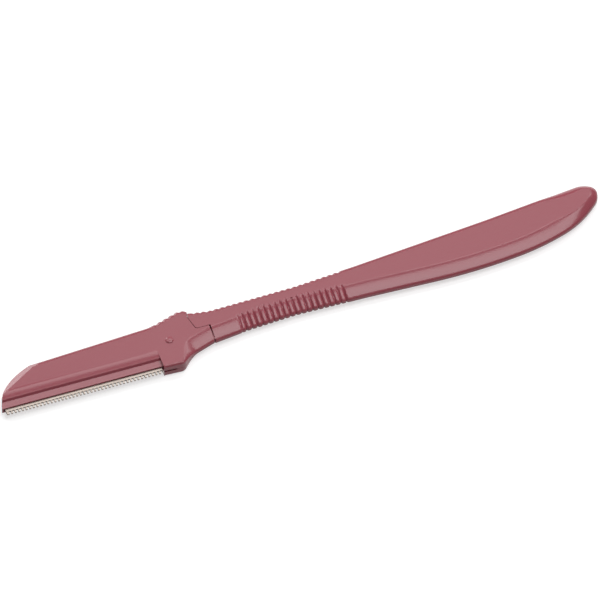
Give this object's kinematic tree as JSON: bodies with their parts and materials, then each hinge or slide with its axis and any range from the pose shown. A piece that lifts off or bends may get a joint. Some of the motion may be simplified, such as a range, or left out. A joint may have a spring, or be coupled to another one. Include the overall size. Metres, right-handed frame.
{
  "type": "eyebrow razor",
  "caption": "Slim flat eyebrow razor with a comb-guarded blade in a hooked head, which pulls off a long leaf-ended handle with finger-grip ribs.",
  "frame": {"origin": "middle of the finger grip on the handle's flat back face, which is the face it rests on", "axes": "+X from the blade's tip to the handle's tail, +Y from the cutting edge towards the spine, +Z out of the front face, away from the rest surface"},
  "size_m": [0.1485, 0.0208, 0.0037],
  "materials": {
    "rose_plastic": "glossy moulded plastic",
    "blade_steel": "satin, ground edge",
    "guard_metal": "satin, warm tint"
  },
  "bodies": {
    "handle": {"handle": "rose_plastic"},
    "blade_head": {"head_front_shell": "rose_plastic", "head_back_shell": "rose_plastic", "blade": "blade_steel", "comb_guard": "guard_metal", "catch_pin": "rose_plastic"}
  },
  "joints": [
    {"name": "head_release", "type": "slide", "parent": "handle", "child": "blade_head", "axis": [-1, 0, 0], "range_m": [0, 0.0124]}
  ]
}
